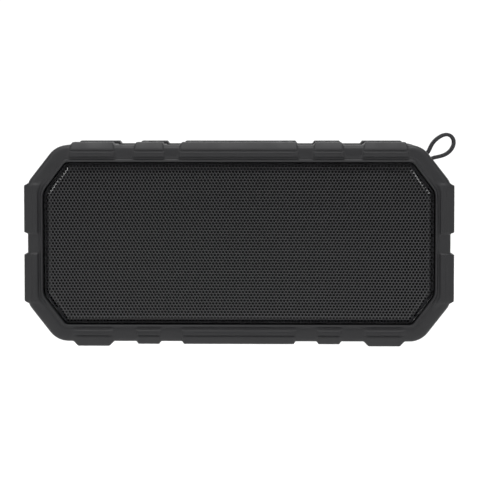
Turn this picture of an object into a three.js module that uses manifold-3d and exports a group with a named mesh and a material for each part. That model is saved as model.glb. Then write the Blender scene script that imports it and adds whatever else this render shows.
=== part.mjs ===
// Rugged portable speaker. Millimetres, +Z up, front faces -Y, X to the right, origin under its middle.
import * as THREE from 'three';
import { mergeVertices } from 'three/addons/utils/BufferGeometryUtils.js';
import Module from 'manifold-3d';

const wasm = await Module();
wasm.setup();

// ---- driving dimensions -------------------------------------------------------------------
const GAP = 0.3; // clearance between pieces that touch
const MID_Z = 42; // height of the octagon's centre above the desk
const HALF_DEPTH = 26;
const BUMPER_BACK = 13.3; // inner faces of the front and rear bumpers, either side of y = 0
const OUTER = { w: 86, h: 40, vx: 74.1, vz: 24.75 }; // octagon: half sizes, top corner x, side corner z
const OPENING = { w: 79.7, h: 33.1, vx: 70.5, vz: 21 };
const REAR_OPENING = { w: 72.5, h: 27.5, vx: 64.5, vz: 17 };
const CORNER_ROUND = { top: 9.5, side: 6.5 };
const OPENING_ROUND = { top: 2.5, side: 6 };
const SHOULDER = 2.7; // sloped outer edge of a bumper
const PAD_RISE = 1.15;
const SIDE_PAD_RISE = 1.5;
const FOOT_RISE = 2;
const SLANT = 1.1; // sloped ends of the pads
const TOP_PADS = [[-67.5, -51.5], [-41.5, -31.3], [-23, 23], [31.3, 41.5], [51.5, 67.5]];
const BOTTOM_PADS = [[-40.8, -32.6], [-22.2, 22.2], [32.6, 40.8]];
const FEET = [[-65.2, -53.2], [53.2, 65.2]];
const SIDE_PADS = [[-23.6, -4.7], [4.7, 23.6]];
const CAVITY = { inset: 2.8, depth: 4 }; // step inside each bumper that takes baffle or back panel
const BAND = { inset: 1.2, wall: 3, half: 13 }; // centre housing
const BAFFLE = { y0: -17, y1: -14.5, inset: 3.2 };
const GRILLE = { rim: -17.4, face: -24.2, bend: -22.7, inset: 0.6, flank: 1.9, sheet: 0.6 };
const CLOTH = { y0: -23.3, y1: -23, inset: 3.4 };
const DRIVER_X = 44;
const BUTTONS = { power: -36.5, volume_down: -18.7, volume_up: 18.7, play: 36.5 };
const BUTTON = { radius: 4.1, top: 41.4 };
const KEY_BOARD_Z = 28.2;
const BOSSES = [[-62, 33.2], [62, 33.2], [-62, -33.2], [62, -33.2], [-79.2, 0], [79.2, 0]];
const SCREW = { head: 2.6, shank: 1.3, y_head: 24.6, y_tip: -2 };
const RADIATOR = { opening: 19, frame: 22.5 };
const PORT = { x0: -70, x1: -42, half: 6.5, usb: -50.5, aux: -62 };
const PIN = { x: 75.2, z: 32.4, radius: 0.95, half: 6.4 };
const STRAP = { width: 5, thick: 1.5, lean: 38.6 };
// strap centreline: along and across the direction in which it stands off the pin
const STRAP_ROUTE = [
  [-1.98, -0.26], [-1.62, -1.18], [-0.88, -1.8], [0.05, -2], [1.2, -1.9], [2.6, -1.62],
  [4, -1.48], [5.2, -1.7], [6.6, -2.35], [8.2, -3.12], [10, -3.68], [11.9, -3.8],
  [13.7, -3.4], [15.3, -2.45], [16.35, -0.95], [16.5, 0.75], [15.75, 2.2], [14.3, 3.1],
  [12.5, 3.5], [10.6, 3.55], [8.8, 3.25], [7.2, 2.62], [5.8, 1.92], [4.6, 1.52],
  [3.2, 1.55], [1.8, 1.8], [0.5, 1.98], [-0.6, 1.91], [-1.45, 1.38], [-1.92, 0.56], [-1.98, 0.26],
];

// ---- finishes -----------------------------------------------------------------------------
const finish = (color, roughness, metalness = 0) => new THREE.MeshStandardMaterial({ color, roughness, metalness });
const RUBBER = finish(0x38383a, 0.62);
const HOUSING = finish(0x323234, 0.55);
const GRILLE_STEEL = finish(0x2e2e30, 0.45, 0.3);
const CLOTH_BLACK = finish(0x0c0c0d, 0.95);
const ABS = finish(0x1c1c1e, 0.5);
const SEAL = finish(0x141414, 0.8);
const CONE_PAPER = finish(0x202020, 0.8);
const STEEL = finish(0xb8b8bb, 0.3, 1);
const FERRITE = finish(0x2a2a2c, 0.6);
const BOARD = finish(0x12402a, 0.5);
const CELL = finish(0x2456a0, 0.4);
const STRAP_BLACK = finish(0x2c2c2e, 0.8);
const LENS = finish(0xd8e4ee, 0.2);

// ---- solids -------------------------------------------------------------------------------
function signedVolume(geometry) {
  const p = geometry.attributes.position;
  const index = geometry.index.array;
  const [a, b, c] = [new THREE.Vector3(), new THREE.Vector3(), new THREE.Vector3()];
  let sum = 0;
  for (let i = 0; i < index.length; i += 3) {
    a.fromBufferAttribute(p, index[i]);
    b.fromBufferAttribute(p, index[i + 1]);
    c.fromBufferAttribute(p, index[i + 2]);
    sum += a.dot(b.cross(c)) / 6;
  }
  return sum;
}

function solid(geometry) {
  const bare = geometry.clone();
  bare.deleteAttribute('normal');
  bare.deleteAttribute('uv');
  const merged = mergeVertices(bare, 1e-4);
  const triVerts = Uint32Array.from(merged.index.array);
  if (signedVolume(merged) < 0) triVerts.reverse();
  const vertProperties = Float32Array.from(merged.attributes.position.array);
  return new wasm.Manifold(new wasm.Mesh({ numProp: 3, vertProperties, triVerts }));
}

function toGeometry(body) {
  const mesh = body.getMesh();
  const geometry = new THREE.BufferGeometry();
  geometry.setAttribute('position', new THREE.BufferAttribute(Float32Array.from(mesh.vertProperties), 3));
  geometry.setIndex(Array.from(mesh.triVerts));
  geometry.computeVertexNormals();
  return geometry;
}

const group = new THREE.Group();
function add(name, body, material) {
  const mesh = new THREE.Mesh(toGeometry(body), material);
  mesh.name = name;
  group.add(mesh);
}

// ---- outlines, drawn as x and height above MID_Z ------------------------------------------
function inset(oct, d) {
  const length = Math.hypot(oct.h - oct.vz, oct.w - oct.vx);
  const nx = (oct.h - oct.vz) / length;
  const nz = (oct.w - oct.vx) / length;
  const reach = oct.vx * nx + oct.h * nz - d;
  const w = oct.w - d;
  const h = oct.h - d;
  return { w, h, vx: (reach - h * nz) / nx, vz: (reach - w * nx) / nz };
}

function octagon({ w, h, vx, vz }, round, steps = 3) {
  const corners = [
    [vx, h, round.top], [-vx, h, round.top], [-w, vz, round.side], [-w, -vz, round.side],
    [-vx, -h, round.top], [vx, -h, round.top], [w, -vz, round.side], [w, vz, round.side],
  ];
  const points = corners.flatMap(([x, z, r], i) => {
    const here = new THREE.Vector2(x, z);
    const before = corners[(i + 7) % 8];
    const after = corners[(i + 1) % 8];
    const back = new THREE.Vector2(before[0] - x, before[1] - z).normalize();
    const on = new THREE.Vector2(after[0] - x, after[1] - z).normalize();
    const half = Math.acos(back.dot(on)) / 2;
    const start = here.clone().addScaledVector(back, r / Math.tan(half));
    const middle = here.clone().addScaledVector(back.clone().add(on).normalize(), r / Math.sin(half));
    const first = start.sub(middle);
    const turn = (Math.PI - 2 * half) / steps;
    return Array.from({ length: steps + 1 }, (_, k) => (
      first.clone().rotateAround(new THREE.Vector2(), k * turn).add(middle)
    ));
  });
  return new THREE.Shape(points);
}

function polygon(points) {
  return new THREE.Shape(points.map(([x, z]) => new THREE.Vector2(x, z)));
}

function rectangle(x0, x1, z0, z1) {
  return polygon([[x0, z0], [x1, z0], [x1, z1], [x0, z1]]);
}

// A plate of an outline between two depths, its outline's z measured from MID_Z
function plate(shape, y0, y1, curveSegments = 3) {
  const options = { depth: y1 - y0, bevelEnabled: false, curveSegments };
  return solid(new THREE.ExtrudeGeometry(shape, options).rotateX(Math.PI / 2).translate(0, y1, MID_Z));
}

// The same, with both ends narrowed by a slope that reaches the full outline
function crowned(shape, y0, y1, slope, steps = 2) {
  const options = {
    depth: y1 - y0 - 2 * slope,
    bevelThickness: slope,
    bevelSize: slope,
    bevelOffset: -slope,
    bevelSegments: steps,
    curveSegments: 3,
  };
  return solid(new THREE.ExtrudeGeometry(shape, options).rotateX(Math.PI / 2).translate(0, y1 - slope, MID_Z));
}

const block = (x0, x1, y0, y1, z0, z1) => plate(rectangle(x0, x1, z0, z1), y0, y1);

// Turned shapes: profile points are radius and place along the axis. A ring's profile closes on itself.
function turned(profile, sides) {
  const closed = profile[0][0] > 0 ? [...profile, profile[0]] : profile;
  return new THREE.LatheGeometry(closed.map(([r, t]) => new THREE.Vector2(r, t)), sides);
}
const turnedY = (profile, x, z, sides = 16) => solid(turned(profile, sides).translate(x, 0, MID_Z + z));
const turnedZ = (profile, x, y, sides = 14) => solid(turned(profile, sides).rotateX(Math.PI / 2).translate(x, y, MID_Z));
const rodY = (r, y0, y1, x, z, sides) => turnedY([[0, y0], [r, y0], [r, y1], [0, y1]], x, z, sides);
const rodZ = (r, z0, z1, x, y, sides) => turnedZ([[0, z0], [r, z0], [r, z1], [0, z1]], x, y, sides);

// ---- pads that stand proud of an octagon --------------------------------------------------
function padOutlines(oct, withFeet) {
  const sunk = 4;
  const outline = (range, edge, rise, slant, flip) => polygon([
    [range[0] - slant, flip * (edge - sunk)], [range[1] + slant, flip * (edge - sunk)],
    [range[1] + slant, flip * edge], [range[1], flip * (edge + rise)],
    [range[0], flip * (edge + rise)], [range[0] - slant, flip * edge],
  ]);
  const side = ([z0, z1], flip) => polygon([
    [flip * (oct.w - sunk), z0], [flip * (oct.w + SIDE_PAD_RISE), z0 + 0.6],
    [flip * (oct.w + SIDE_PAD_RISE), z1 - 0.6], [flip * (oct.w - sunk), z1],
  ]);
  const list = TOP_PADS.map((range) => outline(range, oct.h, PAD_RISE, SLANT, 1));
  BOTTOM_PADS.forEach((range) => list.push(outline(range, oct.h, PAD_RISE, SLANT, -1)));
  if (withFeet) FEET.forEach((range) => list.push(outline(range, oct.h, FOOT_RISE, 2.7, -1)));
  SIDE_PADS.forEach((range) => list.push(side(range, 1), side(range, -1)));
  return list;
}

// ---- bumpers ------------------------------------------------------------------------------
// Front bumper from its face to its inner edge; the rear one is built the same way and turned round.
function bumper(opening, openingRound) {
  const y0 = -HALF_DEPTH;
  const y1 = -BUMPER_BACK;
  const beyond = y1 + SHOULDER;
  let body = crowned(octagon(OUTER, CORNER_ROUND), y0, beyond, SHOULDER);
  const proud = { ...OUTER, w: OUTER.w + SIDE_PAD_RISE, h: OUTER.h + FOOT_RISE, vx: 77, vz: 28 };
  const envelope = crowned(octagon(proud, { top: 5, side: 5 }), y0 + 0.9, beyond, SHOULDER);
  for (const outline of padOutlines(OUTER, true)) {
    body = body.add(plate(outline, y0 + 0.9, beyond).intersect(envelope));
  }
  const step = octagon(inset(OUTER, CAVITY.inset), { top: 6, side: 3 });
  return body
    .subtract(plate(octagon(opening, openingRound), y0 - 1, 0))
    .subtract(plate(step, y1 - CAVITY.depth, 0))
    .subtract(block(-100, 100, y1, y1 + 10, -60, 60));
}

const screwHoles = (body, r, y0, y1) => BOSSES.reduce((b, [x, z]) => b.subtract(rodY(r, y0, y1, x, z, 10)), body);

add('front_frame', bumper(OPENING, OPENING_ROUND), RUBBER);
let rear = bumper(REAR_OPENING, { top: 3, side: 3 }).mirror([0, 1, 0]);
rear = screwHoles(rear, SCREW.shank + GAP, 10, 30);
rear = screwHoles(rear, SCREW.head + GAP, 22.2, 30);
add('rear_frame', rear, RUBBER);

// ---- grille, cloth, baffle ------------------------------------------------------------------
function grilleForm(extra) {
  const rim = inset(OPENING, GRILLE.inset + extra);
  const depth = GRILLE.bend - GRILLE.face;
  const round = { top: 2.3, side: 5.6 };
  const options = {
    depth: GRILLE.rim - GRILLE.bend,
    bevelThickness: depth,
    bevelSize: GRILLE.flank,
    bevelOffset: -GRILLE.flank,
    bevelSegments: 1,
    curveSegments: 3,
  };
  const form = new THREE.ExtrudeGeometry(octagon(rim, round), options).rotateX(Math.PI / 2);
  return solid(form.translate(0, GRILLE.rim + extra, MID_Z)).subtract(block(-100, 100, GRILLE.rim, 0, -60, 60));
}
add('grille', grilleForm(0).subtract(grilleForm(GRILLE.sheet)), GRILLE_STEEL);

const clothOutline = octagon(inset(OPENING, CLOTH.inset), { top: 2, side: 4 });
add('acoustic_cloth', plate(clothOutline, CLOTH.y0, CLOTH.y1), CLOTH_BLACK);

let baffle = plate(octagon(inset(OUTER, BAFFLE.inset), { top: 5.6, side: 3 }), BAFFLE.y0, BAFFLE.y1);
for (const x of [-DRIVER_X, DRIVER_X]) {
  baffle = baffle.subtract(rodY(21.6, -20, -10, x, 0, 24));
}
add('front_baffle', baffle, ABS);

function gasket(y0, y1) {
  const outer = octagon(inset(OUTER, 3.1), { top: 5.9, side: 3 });
  const inner = octagon(inset(OUTER, 5.1), { top: 4, side: 2.5 });
  return plate(outer, y0, y1).subtract(plate(inner, y0 - 1, y1 + 1));
}
add('front_gasket', gasket(-14.2, -13.3), SEAL);
add('rear_gasket', gasket(13.3, 14.2), SEAL);

// ---- centre housing -------------------------------------------------------------------------
const band = inset(OUTER, BAND.inset);
const bandOutline = octagon(band, { top: 8, side: 4 });
let housing = plate(bandOutline, -BAND.half, BAND.half);
for (const outline of padOutlines(band, false)) {
  housing = housing.add(plate(outline, -BAND.half, BAND.half));
}
const hollow = octagon(inset(band, BAND.wall), { top: 5, side: 2 });
housing = housing.subtract(plate(hollow, -BAND.half - 1, BAND.half + 1));
const within = plate(bandOutline, -BAND.half, BAND.half);
for (const [x, z] of BOSSES) {
  housing = housing.add(rodY(3.5, -BAND.half, BAND.half - 0.2, x, z, 12).intersect(within));
}
housing = screwHoles(housing, SCREW.shank + GAP, -5, 20);
const pinPlace = [PIN.x, PIN.z];
housing = housing.add(rodY(7.6, -8, 8, ...pinPlace, 20).intersect(within));
housing = housing.subtract(rodY(6, -4, 4, ...pinPlace, 20));
housing = housing.subtract(rodY(PIN.radius + GAP, -PIN.half - GAP, PIN.half + GAP, ...pinPlace, 12));
for (const x of Object.values(BUTTONS)) {
  housing = housing.subtract(rodZ(BUTTON.radius + GAP, 30, 45, x, 0, 20));
}
const LENS_X = 0;
const MIC_X = 9;
housing = housing.subtract(rodZ(1.2, 30, 45, LENS_X, 0, 10)).subtract(rodZ(0.6, 30, 45, MIC_X, 0, 8));
add('centre_housing', housing, HOUSING);

// ---- buttons, switches and their board -----------------------------------------------------
const FLANGE = [34.4, 35.4];
const STEM_END = 32.7;
for (const [name, x] of Object.entries(BUTTONS)) {
  const { radius, top } = BUTTON;
  const profile = [
    [0, STEM_END], [1.5, STEM_END], [1.5, FLANGE[0]], [radius + 1.3, FLANGE[0]],
    [radius + 1.3, FLANGE[1]], [radius, FLANGE[1]], [radius, top - 1.1],
    [radius - 0.5, top - 0.5], [radius - 1.8, top - 0.15], [0, top],
  ];
  add(`${name}_button`, turnedZ(profile, x, 0), RUBBER);
  const body = block(x - 3, x + 3, -3, 3, KEY_BOARD_Z + 1.9, 31.4);
  add(`${name}_switch`, body.add(rodZ(1.6, 31, 32, x, 0, 10)), STEEL);
}
add('key_board', block(-45, 45, -9, 9, KEY_BOARD_Z, KEY_BOARD_Z + 1.6), BOARD);
const lensProfile = [[0, 33.6], [0.9, 33.6], [0.9, 34.2], [2, 34.2], [2, 35.3], [0.9, 35.3], [0.9, 39.9], [0, 39.9]];
add('status_lens', turnedZ(lensProfile, LENS_X, 0, 10), LENS);
add('microphone', rodZ(2, KEY_BOARD_Z + 1.9, KEY_BOARD_Z + 3.4, MIC_X, 0, 12), STEEL);

// ---- drivers --------------------------------------------------------------------------------
const BASKET = [
  [19.8, -18.5], [25, -18.5], [25, -17.3], [21, -17.3], [20.2, -14], [15.8, -7.6], [15.8, -6.4],
  [11.6, -6.4], [11.6, -7.4], [14.8, -7.4], [19.2, -14.4],
];
const MOTOR = [[0, -6.1], [9.2, -6.1], [9.2, 1.5], [11.2, 1.5], [11.2, -6.1], [15.5, -6.1], [15.5, 4], [0, 4]];
const CONE = [[15.6, -18.4], [15.6, -17.8], [11, -12.7], [11, -12.1], [10.4, -12.1], [10.4, -12.9]];
const DUST_CAP = [[0, -15.9], [5.4, -15.3], [10, -13.5], [10, -12.9], [5.2, -14.7], [0, -15.3]];
const COIL = [[9.7, -12.1], [10.1, -12.1], [10.1, -1], [9.7, -1]];
const SURROUND = [
  [15.9, -18.4], [16.6, -19.8], [18.2, -20.5], [19.6, -19.9], [20.3, -19.4], [23, -19.4],
  [23, -18.8], [20.1, -18.8], [19.2, -19.4], [18.2, -19.9], [17, -19.3], [16.3, -17.9], [15.9, -17.9],
];
const SPIDER = [
  [10.4, -9.8], [12, -9.4], [13.6, -9.8], [15.2, -9.4], [15.2, -9], [13.6, -9.4], [12, -9], [10.4, -9.4],
];
for (const [side, x] of [['left', -DRIVER_X], ['right', DRIVER_X]]) {
  add(`${side}_basket`, turnedY(BASKET, x, 0), STEEL);
  add(`${side}_motor`, turnedY(MOTOR, x, 0), FERRITE);
  add(`${side}_cone`, turnedY(CONE, x, 0), CONE_PAPER);
  add(`${side}_dust_cap`, turnedY(DUST_CAP, x, 0), CONE_PAPER);
  add(`${side}_voice_coil`, turnedY(COIL, x, 0), STEEL);
  add(`${side}_surround`, turnedY(SURROUND, x, 0), SEAL);
  add(`${side}_spider`, turnedY(SPIDER, x, 0), CLOTH_BLACK);
}

// ---- back panel and passive radiator -----------------------------------------------------
const PANEL = { flange0: 14.5, flange1: 17, face: 24.5, skin: 2.4 };
let panel = plate(octagon(inset(OUTER, BAFFLE.inset), { top: 5.6, side: 3 }), PANEL.flange0, PANEL.flange1);
const plateau = inset(REAR_OPENING, 0.4);
panel = panel.add(plate(octagon(plateau, { top: 2.6, side: 2.6 }), PANEL.flange1 - 0.5, PANEL.face));
const inside = octagon(inset(plateau, PANEL.skin), { top: 2, side: 2 });
panel = panel.subtract(plate(inside, 10, PANEL.face - PANEL.skin));
panel = panel.add(block(PORT.x0 + 1, PORT.x1 + 2, 18.5, 23, -PORT.half - 3.2, PORT.half + 2));
panel = panel.subtract(block(PORT.x0, PORT.x1, 21.9, 30, -PORT.half, PORT.half));
panel = panel.subtract(block(-62.3, -49.7, 23, 30, -PORT.half - 2.1, -PORT.half + 1));
panel = panel.subtract(block(PORT.usb - 4.9, PORT.usb + 4.9, 10, 30, -2, 2));
panel = panel.subtract(rodY(3.3, 10, 30, PORT.aux, 0, 14));
panel = panel.subtract(rodY(RADIATOR.opening, 10, 30, 0, 0, 24));
panel = screwHoles(panel, SCREW.shank + GAP, 10, 30);
add('back_panel', panel, ABS);

const RADIATOR_FRAME = [[18.8, 19.2], [RADIATOR.frame, 19.2], [RADIATOR.frame, 21.8], [18.8, 21.8]];
const RADIATOR_ROLL = [
  [12.7, 21.9], [13.4, 23.4], [15.4, 24.2], [17.3, 23.4], [18.1, 21.8], [18.1, 18.3],
  [21.4, 18.3], [21.4, 18.9], [18.5, 18.9], [18.5, 22], [17.6, 23.9], [15.4, 24.8],
  [13.1, 24], [12.7, 22.9],
];
const RADIATOR_PLATE = [[0, 21.4], [11.9, 21.4], [12.4, 21.9], [12.4, 23], [11.6, 23.5], [4.5, 23.5], [4, 23.1], [0, 23.1]];
add('radiator_frame', turnedY(RADIATOR_FRAME, 0, 0, 24), ABS);
add('radiator_surround', turnedY(RADIATOR_ROLL, 0, 0, 24), SEAL);
add('radiator_plate', turnedY(RADIATOR_PLATE, 0, 0, 24), STEEL);

// ---- electronics ------------------------------------------------------------------------------
add('main_board', block(-75, -41, 12.6, 14.1, -20, 20), BOARD);
const usbShell = block(PORT.usb - 4.5, PORT.usb + 4.5, 14.4, 21.6, -1.65, 1.65);
add('usb_socket', usbShell.subtract(block(PORT.usb - 4.1, PORT.usb + 4.1, 16, 25, -1.25, 1.25)), STEEL);
const auxShell = rodY(3, 14.4, 21.6, PORT.aux, 0, 14);
add('aux_socket', auxShell.subtract(rodY(1.8, 16, 25, PORT.aux, 0, 12)), ABS);
const amplifier = block(-73, -61, 8.6, 12.3, 6, 16);
add('amplifier_heat_sink', [-71, -68, -65].reduce((b, x) => b.subtract(block(x, x + 1.5, 5, 10.6, 0, 20)), amplifier), STEEL);
add('radio_module', block(-58, -44, 10.6, 12.3, -16, -4), STEEL);

const BATTERY = { half: 18.4, y0: -14, y1: 4, z0: -32, z1: 27 };
function cellPair(grow, z0, z1) {
  const r = (BATTERY.y1 - BATTERY.y0) / 2 + grow;
  const reach = BATTERY.half + grow - r;
  const shape = new THREE.Shape();
  shape.moveTo(-reach, -r);
  shape.lineTo(reach, -r);
  shape.absarc(reach, 0, r, -Math.PI / 2, Math.PI / 2, false);
  shape.lineTo(-reach, r);
  shape.absarc(-reach, 0, r, Math.PI / 2, 1.5 * Math.PI, false);
  const form = new THREE.ExtrudeGeometry(shape, { depth: z1 - z0, bevelEnabled: false, curveSegments: 8 });
  return solid(form.translate(0, (BATTERY.y0 + BATTERY.y1) / 2, MID_Z + z0));
}
add('battery_pack', cellPair(0, BATTERY.z0, BATTERY.z1), CELL);
for (const [name, z0] of [['lower_battery_clamp', -27], ['upper_battery_clamp', 19]]) {
  const z1 = z0 + 5;
  const loop = cellPair(2, z0, z1).subtract(cellPair(GAP, z0 - 1, z1 + 1));
  const feet = block(-24, 24, -14.2, -12.4, z0, z1).subtract(cellPair(GAP, z0 - 1, z1 + 1));
  add(name, loop.add(feet).subtract(block(-30, 30, -30, -14.2, z0 - 1, z1 + 1)), ABS);
}

// ---- port cover --------------------------------------------------------------------------------
const COVER = { y0: 22.2, y1: 24.4, half: 6.2 };
let cover = block(PORT.x0 + GAP, PORT.x1 - GAP, COVER.y0, COVER.y1, -COVER.half, COVER.half);
cover = cover.add(block(PORT.usb - 3.4, PORT.usb + 3.4, 21.3, 23, -0.6, 0.6));
cover = cover.add(rodY(1.2, 21.3, 23, PORT.aux, 0, 10));
cover = cover.subtract(block(PORT.x0 + 9, PORT.x1 - 9, 23.6, 30, 4.9, 7));
add('port_cover', cover, SEAL);
add('port_cover_hinge', block(-62, -50, 23.3, 24.3, -8.3, -6.5), SEAL);

// ---- case screws ---------------------------------------------------------------------------------
const SCREW_PROFILE = [
  [0, SCREW.y_tip], [0.7, SCREW.y_tip], [SCREW.shank, 0], [SCREW.shank, 22.6],
  [SCREW.head, 22.6], [SCREW.head, 24], [1.9, SCREW.y_head], [0, SCREW.y_head],
];
BOSSES.forEach(([x, z], i) => {
  const slotA = block(x - 1.5, x + 1.5, 23.5, 26, z - 0.3, z + 0.3);
  const slotB = block(x - 0.3, x + 0.3, 23.5, 26, z - 1.5, z + 1.5);
  add(`case_screw_${i + 1}`, turnedY(SCREW_PROFILE, x, z, 10).subtract(slotA).subtract(slotB), STEEL);
});

// ---- hanging strap and its pin ---------------------------------------------------------------------
add('strap_pin', rodY(PIN.radius, -PIN.half, PIN.half, ...pinPlace, 12), STEEL);
const lean = THREE.MathUtils.degToRad(STRAP.lean);
const route = STRAP_ROUTE.map(([along, across]) => new THREE.Vector3(
  PIN.x + along * Math.cos(lean) - across * Math.sin(lean),
  0,
  MID_Z + PIN.z + along * Math.sin(lean) + across * Math.cos(lean),
));
const [halfThick, halfWidth, corner] = [STRAP.thick / 2, STRAP.width / 2, 0.5];
const strapSection = new THREE.Shape([
  [halfWidth, corner - halfThick], [halfWidth, halfThick - corner],
  [halfWidth - corner, halfThick], [corner - halfWidth, halfThick],
  [-halfWidth, halfThick - corner], [-halfWidth, corner - halfThick],
  [corner - halfWidth, -halfThick], [halfWidth - corner, -halfThick],
].map(([across, through]) => new THREE.Vector2(across, through)));
const strapPath = new THREE.CatmullRomCurve3(route, false, 'centripetal');
const strap = new THREE.ExtrudeGeometry(strapSection, { steps: 48, bevelEnabled: false, extrudePath: strapPath });
add('hanging_strap', solid(strap), STRAP_BLACK);

export default group;
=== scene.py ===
"""Looks of a rugged portable speaker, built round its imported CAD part. Metres, +Z up, front towards -Y."""
import math

import bmesh
import bpy
import numpy as np
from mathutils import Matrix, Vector


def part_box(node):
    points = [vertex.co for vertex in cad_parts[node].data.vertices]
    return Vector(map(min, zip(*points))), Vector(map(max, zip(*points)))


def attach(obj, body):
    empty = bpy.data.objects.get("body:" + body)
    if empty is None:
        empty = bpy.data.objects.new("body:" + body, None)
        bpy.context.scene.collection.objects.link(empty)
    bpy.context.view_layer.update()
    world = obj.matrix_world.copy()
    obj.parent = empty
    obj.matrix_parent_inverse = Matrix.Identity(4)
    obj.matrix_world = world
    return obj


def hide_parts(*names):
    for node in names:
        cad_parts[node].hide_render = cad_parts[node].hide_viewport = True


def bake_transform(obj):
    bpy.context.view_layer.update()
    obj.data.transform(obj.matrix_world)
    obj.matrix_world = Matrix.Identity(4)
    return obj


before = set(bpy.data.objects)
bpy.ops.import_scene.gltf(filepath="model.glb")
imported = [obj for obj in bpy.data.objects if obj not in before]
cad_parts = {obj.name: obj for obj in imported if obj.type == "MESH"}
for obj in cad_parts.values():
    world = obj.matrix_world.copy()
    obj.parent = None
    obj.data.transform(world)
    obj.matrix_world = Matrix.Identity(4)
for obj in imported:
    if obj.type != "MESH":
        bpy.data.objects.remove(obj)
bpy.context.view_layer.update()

# ---- sizes in millimetres, as the part is dimensioned ---------------------------------------
MM = 0.001
MID_Z = 42.0  # centre of the octagon above the desk
HALF_DEPTH = 26.0
BUMPER_BACK = 13.3
OUTER = {"w": 86.0, "h": 40.0, "vx": 74.1, "vz": 24.75}
OPENING = {"w": 79.7, "h": 33.1, "vx": 70.5, "vz": 21.0}
REAR_OPENING = {"w": 72.5, "h": 27.5, "vx": 64.5, "vz": 17.0}
TOP_PADS = [(-67.5, -51.5), (-41.5, -31.3), (-23, 23), (31.3, 41.5), (51.5, 67.5)]
BOTTOM_PADS = [(-40.8, -32.6), (-22.2, 22.2), (32.6, 40.8)]
FEET = [(-65.2, -53.2), (53.2, 65.2)]
SIDE_PADS = [(-23.6, -4.7), (4.7, 23.6)]
PAD_RISE = 1.15
SIDE_PAD_RISE = 1.5
FOOT_RISE = 2.0
PAD_SLANT = 1.1
FOOT_SLANT = 2.7
SIDE_SLANT = 0.9
TOP_FLARE = 0.16  # how fast a pad widens towards the grille
FLARE = 0.05
BUMPER_ROUND = (9.5, 6.5)  # corner radii at the top and at the sides
EDGE_STEP = 2.8
SIDE_STEP = 0.5
SCREW_PLACES = [(-62, 33.2), (62, 33.2), (-62, -33.2), (62, -33.2), (-79.2, 0), (79.2, 0)]
STRAP = {"width": 5.0, "thick": 1.46, "lean": 38.6, "pin_x": 75.2, "pin_z": 32.4}
STRAP_ROUTE = [
    (-1.98, -0.26), (-1.62, -1.18), (-0.88, -1.8), (0.05, -2), (1.2, -1.9), (2.6, -1.62),
    (4, -1.48), (5.2, -1.7), (6.6, -2.35), (8.2, -3.12), (10, -3.68), (11.9, -3.8),
    (13.7, -3.4), (15.3, -2.45), (16.35, -0.95), (16.5, 0.75), (15.75, 2.2), (14.3, 3.1),
    (12.5, 3.5), (10.6, 3.55), (8.8, 3.25), (7.2, 2.62), (5.8, 1.92), (4.6, 1.52),
    (3.2, 1.55), (1.8, 1.8), (0.5, 1.98), (-0.6, 1.91), (-1.45, 1.38), (-1.92, 0.56), (-1.98, 0.26),
]

# ---- camera ------------------------------------------------------------------------------------
AZIMUTH = math.radians(1.2)
ELEVATION = math.radians(3.5)
DISTANCE = 0.92
backwards = Vector((
    math.sin(AZIMUTH) * math.cos(ELEVATION),
    -math.cos(AZIMUTH) * math.cos(ELEVATION),
    math.sin(ELEVATION),
))
camera_data = bpy.data.cameras.new("camera")
camera_data.sensor_width = 36
camera_data.lens = 165.4
camera = bpy.data.objects.new("camera", camera_data)
camera.location = Vector((0, 0, MID_Z * MM)) + backwards * DISTANCE
camera.rotation_mode = "QUATERNION"
camera.rotation_quaternion = (-backwards).to_track_quat("-Z", "Y")
bpy.context.scene.collection.objects.link(camera)
bpy.context.scene.camera = camera


# ---- node trees ----------------------------------------------------------------------------------
def add(tree, kind, settings=None, inputs=None):
    """Adds a node, sets its properties, and gives its inputs values or other nodes' outputs."""
    node = tree.nodes.new(kind)
    for key, value in (settings or {}).items():
        setattr(node, key, value)
    for key, value in (inputs or {}).items():
        if isinstance(value, bpy.types.NodeSocket):
            tree.links.new(value, node.inputs[key])
        else:
            node.inputs[key].default_value = value
    return node


def linear(code):
    """An sRGB colour written as six hex digits, in linear light."""
    parts = [int(code[i:i + 2], 16) / 255 for i in (0, 2, 4)]
    return tuple(c / 12.92 if c <= 0.04045 else ((c + 0.055) / 1.055) ** 2.4 for c in parts) + (1.0,)


def surface(name, roughness, metallic=0.0, ior=1.5, extra=None):
    """A new material with its principled shader."""
    material = bpy.data.materials.new(name)
    material.use_nodes = True
    tree = material.node_tree
    tree.nodes.clear()
    values = {"Roughness": roughness, "Metallic": metallic, "IOR": ior}
    shader = add(tree, "ShaderNodeBsdfPrincipled", inputs={**values, **(extra or {})})
    add(tree, "ShaderNodeOutputMaterial", inputs={"Surface": shader.outputs[0]})
    return material, tree, shader


def coordinates(tree, stretch=(1, 1, 1), source="Object"):
    place = add(tree, "ShaderNodeTexCoord").outputs[source]
    return add(tree, "ShaderNodeMapping", inputs={"Vector": place, "Scale": stretch}).outputs[0]


def noise(tree, vector, size, detail=3.0):
    """Noise whose features are about size millimetres."""
    inputs = {"Vector": vector, "Scale": 1 / (size * MM), "Detail": detail}
    return add(tree, "ShaderNodeTexNoise", inputs=inputs).outputs[0]


def spread(tree, value, low, high, start=0.3, end=0.7):
    inputs = {"Value": value, "From Min": start, "From Max": end, "To Min": low, "To Max": high}
    return add(tree, "ShaderNodeMapRange", inputs=inputs).outputs[0]


def mixed(tree, share, first, second):
    return add(tree, "ShaderNodeMix", {"data_type": "RGBA"}, {0: share, 6: first, 7: second}).outputs[2]


def sums(tree, operation, first, second, third=0.0):
    """One step of node arithmetic."""
    inputs = {0: first, 1: second}
    if operation == "MULTIPLY_ADD":
        inputs[2] = third
    return add(tree, "ShaderNodeMath", {"operation": operation}, inputs).outputs[0]


def feed(tree, shader, key, value):
    tree.links.new(value, shader.inputs[key])


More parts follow.
